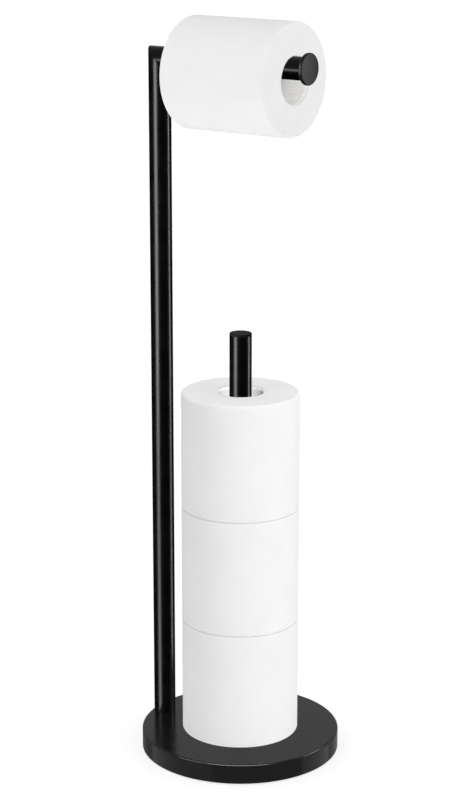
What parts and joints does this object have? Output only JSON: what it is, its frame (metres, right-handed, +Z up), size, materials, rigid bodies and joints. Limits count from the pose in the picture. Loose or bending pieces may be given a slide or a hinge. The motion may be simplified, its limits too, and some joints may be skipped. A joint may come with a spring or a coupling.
{
  "type": "toilet paper stand",
  "caption": "Free-standing toilet paper stand: round weighted base, side post with an arm for the roll in use, and an upright reserve rod with stacked spare rolls.",
  "frame": {"origin": "centre of the round base, on the floor", "axes": "+Z up; +X from the post towards the reserve rod, which both lie in the XZ plane; the arm is turned 9 degrees about the post from +X towards -Y"},
  "size_m": [0.173, 0.173, 0.6398],
  "materials": {
    "satin_black": "satin",
    "ballast_iron": "matte",
    "pad_rubber": "matte",
    "zinc_steel": "satin",
    "tissue": "matte",
    "core_board": "matte"
  },
  "bodies": {
    "stand": {"base_cover": "satin_black", "base_weight": "ballast_iron", "base_pad": "pad_rubber", "post_tube": "satin_black", "arm_tube": "satin_black", "arm_end_cap": "satin_black", "reserve_rod": "satin_black", "reserve_rod_cap": "satin_black", "threaded_inserts": "zinc_steel", "base_screws": "zinc_steel", "lock_washers": "zinc_steel", "flat_washers": "zinc_steel"},
    "hanging_roll": {"hanging_roll_paper": "tissue", "hanging_roll_core": "core_board"},
    "spare_bottom": {"spare_bottom_paper": "tissue", "spare_bottom_core": "core_board"},
    "spare_middle": {"spare_middle_paper": "tissue", "spare_middle_core": "core_board"},
    "spare_top": {"spare_top_paper": "tissue", "spare_top_core": "core_board"}
  },
  "joints": [
    {"name": "hanging_roll_spin", "type": "hinge", "parent": "stand", "child": "hanging_roll", "pos_m": [0.00845, -0.0133, 0.5928], "axis": [0.9877, -0.1564, 0], "continuous": true},
    {"name": "spare_bottom_lift", "type": "slide", "parent": "stand", "child": "spare_bottom", "axis": [0, 0, 1], "range_m": [0, 0.03]},
    {"name": "spare_middle_lift", "type": "slide", "parent": "spare_bottom", "child": "spare_middle", "axis": [0, 0, 1], "range_m": [0, 0.03]},
    {"name": "spare_top_lift", "type": "slide", "parent": "spare_middle", "child": "spare_top", "axis": [0, 0, 1], "range_m": [0, 0.155]}
  ]
}
